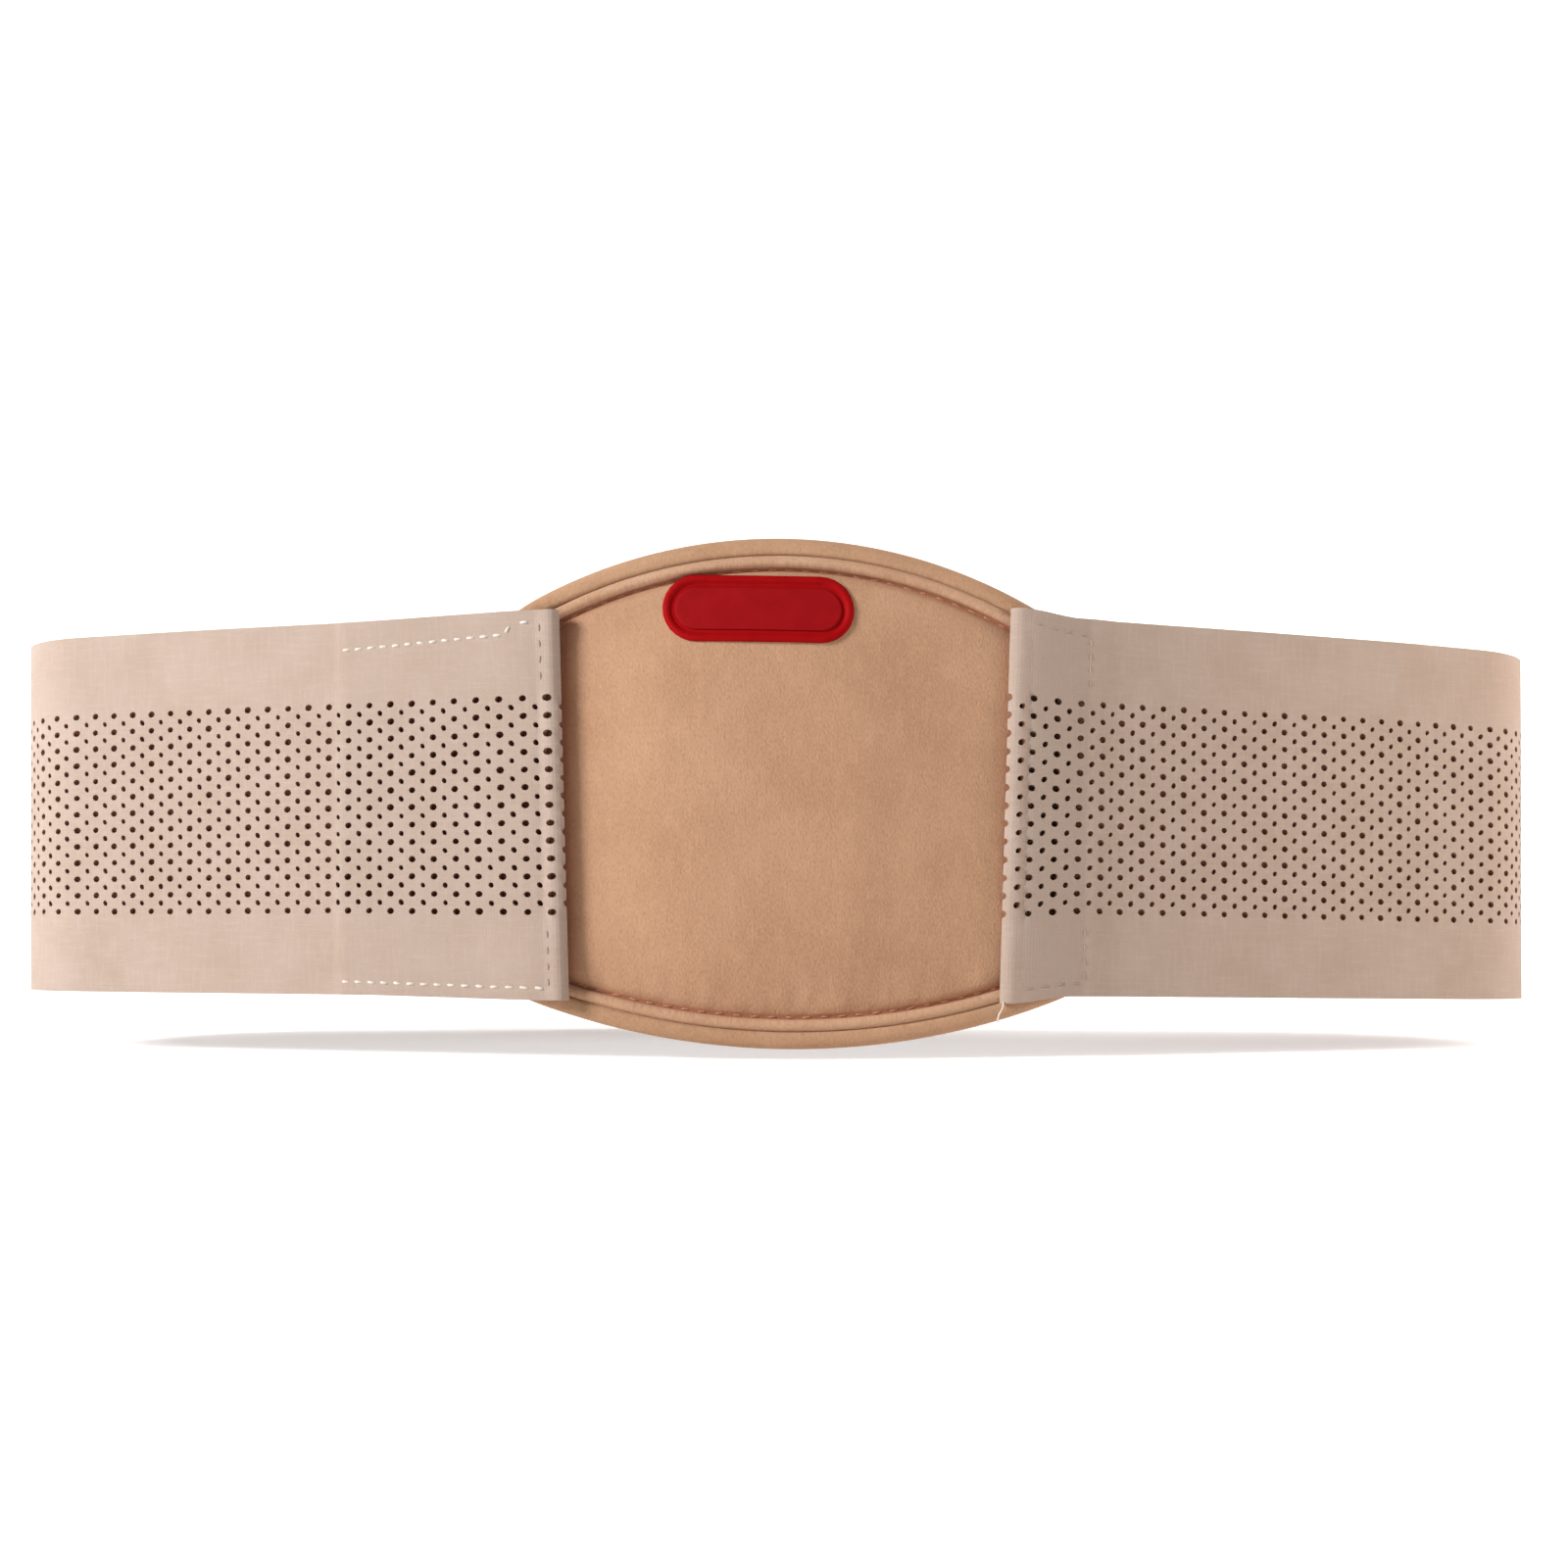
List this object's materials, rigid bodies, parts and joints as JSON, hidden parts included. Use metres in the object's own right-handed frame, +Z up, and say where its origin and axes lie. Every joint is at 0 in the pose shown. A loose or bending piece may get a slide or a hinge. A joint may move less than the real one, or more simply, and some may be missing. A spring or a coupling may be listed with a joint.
{
  "type": "lumbar support belt",
  "caption": "Closed lumbar support belt: plush front panel with a blank rubber badge, perforated elastic side straps, a hooked tab and a boned padded lumbar panel.",
  "frame": {"origin": "centre of the wearer's waist at mid height of the straps", "axes": "+Z up, -Y towards the front panel, +X towards the strap that is sewn to the front panel"},
  "size_m": [0.4452, 0.1906, 0.1365],
  "materials": {
    "elastic_webbing": "perforated warp-knitted elastic, matt",
    "wing_cloth": "folded woven cloth, matt",
    "lining_cloth": "brushed jersey, matt",
    "foam": "soft laminated foam",
    "stiff_plate": "flexible sheet",
    "cover_cloth": "woven cloth, matt",
    "plush": "brushed loop plush, short nap",
    "binding_tape": "folded knitted tape, matt",
    "label_tape": "woven label, blank",
    "hook_tape": "hook tape",
    "red_rubber": "moulded, satin",
    "casing_tape": "woven tape, matt",
    "spring_steel": "flat spring steel",
    "tip_plastic": "dipped plastic"
  },
  "bodies": {
    "lumbar": {"lumbar_lining": "lining_cloth", "lumbar_foam": "foam", "lumbar_plate": "stiff_plate", "lumbar_cover": "cover_cloth", "lumbar_binding": "binding_tape", "care_label": "label_tape", "stay_casing_1": "casing_tape", "stay_casing_2": "casing_tape", "stay_casing_3": "casing_tape", "stay_casing_4": "casing_tape"},
    "left_arm": {"left_wing": "wing_cloth", "left_strap": "elastic_webbing"},
    "tab": {"left_tab": "elastic_webbing", "hook_patch": "hook_tape"},
    "right_arm": {"right_wing": "wing_cloth", "right_strap": "elastic_webbing", "front_lining": "lining_cloth", "front_foam": "foam", "front_plush": "plush", "front_binding": "binding_tape", "front_piping": "plush", "badge_frame": "red_rubber", "badge_inlay": "red_rubber"},
    "stay_body_1": {"stay_1": "spring_steel", "stay_tips_1": "tip_plastic"},
    "stay_body_2": {"stay_2": "spring_steel", "stay_tips_2": "tip_plastic"},
    "stay_body_3": {"stay_3": "spring_steel", "stay_tips_3": "tip_plastic"},
    "stay_body_4": {"stay_4": "spring_steel", "stay_tips_4": "tip_plastic"}
  },
  "joints": [
    {"name": "left_side_open", "type": "hinge", "parent": "lumbar", "child": "left_arm", "pos_m": [-0.10663, 0.08629, 0], "axis": [0, 0, -1], "range_deg": [0, 90]},
    {"name": "right_side_open", "type": "hinge", "parent": "lumbar", "child": "right_arm", "pos_m": [0.10663, 0.08629, 0], "axis": [0, 0, 1], "range_deg": [0, 27]},
    {"name": "closure_peel", "type": "hinge", "parent": "left_arm", "child": "tab", "pos_m": [-0.1203, -0.07436, 0], "axis": [0, 0, -1], "range_deg": [0, 110]},
    {"name": "stay_slide_1", "type": "slide", "parent": "lumbar", "child": "stay_body_1", "axis": [0, 0, 1], "range_m": [0, 0.1]},
    {"name": "stay_slide_2", "type": "slide", "parent": "lumbar", "child": "stay_body_2", "axis": [0, 0, 1], "range_m": [0, 0.1]},
    {"name": "stay_slide_3", "type": "slide", "parent": "lumbar", "child": "stay_body_3", "axis": [0, 0, 1], "range_m": [0, 0.1]},
    {"name": "stay_slide_4", "type": "slide", "parent": "lumbar", "child": "stay_body_4", "axis": [0, 0, 1], "range_m": [0, 0.1]}
  ],
  "couplings": [
    {"joint": "right_side_open", "follows": "left_side_open", "ratio": 0.3}
  ]
}
